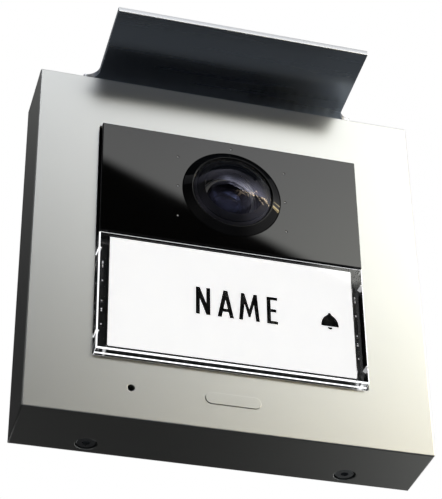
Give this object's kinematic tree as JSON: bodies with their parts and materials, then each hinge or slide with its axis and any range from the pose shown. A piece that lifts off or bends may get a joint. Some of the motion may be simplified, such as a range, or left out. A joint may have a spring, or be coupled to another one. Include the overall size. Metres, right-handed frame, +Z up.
{
  "type": "door intercom panel",
  "caption": "Square wall-mounted door intercom panel with camera window, wide lens, lit name-plate bell push, rain hood, speaker and microphone.",
  "frame": {"origin": "centre of the flat back face that lies on the wall, on the middle of the rear plate", "axes": "+Y into the wall, so the front looks along -Y; +Z up; +X to the right as seen from the street"},
  "size_m": [0.11, 0.0403, 0.1206],
  "materials": {
    "satin_aluminium": "satin, fine bead-blasted and clear anodised",
    "hood_aluminium": "satin anodised sheet",
    "black_abs": "moulded, matt",
    "black_acrylic": "polished",
    "clear_acrylic": "polished, clear",
    "opal_acrylic": "satin, milky",
    "white_card": "uncoated card",
    "white_plastic": "moulded",
    "black_rubber": "moulded, matt",
    "lens_glass": "polished, coated",
    "clear_resin": "cast, clear",
    "circuit_board": "solder mask",
    "sensor_face": "glass-covered chip",
    "zinc_steel": "zinc plated",
    "spring_steel": "drawn wire",
    "brass": "turned",
    "grey_plastic": "moulded",
    "paper_cone": "pressed paper",
    "green_plastic": "moulded",
    "blue_plastic": "moulded"
  },
  "bodies": {
    "housing": {"front_case": "satin_aluminium", "rear_plate": "black_abs", "cable_grommet": "black_rubber", "hood": "hood_aluminium", "inner_frame": "black_abs", "frame_seal": "black_rubber", "camera_window": "black_acrylic", "lens_bezel": "black_acrylic", "front_element": "lens_glass", "lens_spacer": "black_abs", "second_element": "lens_glass", "lens_barrel": "black_abs", "lens_holder": "black_abs", "image_sensor": "sensor_face", "camera_board": "circuit_board", "lamp_board": "circuit_board", "light_sensor": "clear_resin", "main_board": "circuit_board", "mic_boot": "black_rubber", "mic_capsule": "zinc_steel", "speaker_basket": "grey_plastic", "speaker_cone": "paper_cone", "speaker_magnet": "zinc_steel", "speaker_gasket": "black_rubber", "terminal_block": "green_plastic", "volume_trimmer": "blue_plastic", "infrared_lamp_left_1": "clear_resin", "infrared_lamp_right_1": "clear_resin", "infrared_lamp_left_2": "clear_resin", "infrared_lamp_right_2": "clear_resin", "infrared_lamp_left_3": "clear_resin", "infrared_lamp_right_3": "clear_resin", "terminal_screw_1": "zinc_steel", "terminal_screw_2": "zinc_steel", "hood_screw_left": "zinc_steel", "case_screw_left": "zinc_steel", "case_insert_left": "brass", "push_spring_left": "spring_steel", "switch_body_left": "black_abs", "card_lamp_left": "white_plastic", "board_screw_left": "zinc_steel", "frame_screw_lower_left": "zinc_steel", "frame_screw_upper_left": "zinc_steel", "hood_screw_right": "zinc_steel", "case_screw_right": "zinc_steel", "case_insert_right": "brass", "push_spring_right": "spring_steel", "switch_body_right": "black_abs", "card_lamp_right": "white_plastic", "board_screw_right": "zinc_steel", "frame_screw_lower_right": "zinc_steel", "frame_screw_upper_right": "zinc_steel"},
    "bell_push": {"push_cover": "clear_acrylic", "name_card": "white_card", "diffuser": "opal_acrylic", "push_carrier": "black_abs"},
    "switch_key_left": {"switch_plunger_left": "grey_plastic"},
    "switch_key_right": {"switch_plunger_right": "grey_plastic"},
    "volume_disc": {"volume_rotor": "white_plastic"}
  },
  "joints": [
    {"name": "push_travel", "type": "slide", "parent": "housing", "child": "bell_push", "axis": [0, 1, 0], "range_m": [0, 0.0008], "stiffness_N_per_m": 800, "springref_m": -0.0015, "deforming": ["push_spring_left", "push_spring_right"]},
    {"name": "switch_travel_left", "type": "slide", "parent": "housing", "child": "switch_key_left", "axis": [0, 1, 0], "range_m": [0, 0.0008]},
    {"name": "switch_travel_right", "type": "slide", "parent": "housing", "child": "switch_key_right", "axis": [0, 1, 0], "range_m": [0, 0.0008]},
    {"name": "volume_turn", "type": "hinge", "parent": "housing", "child": "volume_disc", "pos_m": [-0.026, -0.0055, -0.012], "axis": [0, 1, 0], "range_deg": [-135, 135]}
  ],
  "couplings": [
    {"joint": "switch_travel_left", "follows": "push_travel", "ratio": 1},
    {"joint": "switch_travel_right", "follows": "push_travel", "ratio": 1}
  ]
}
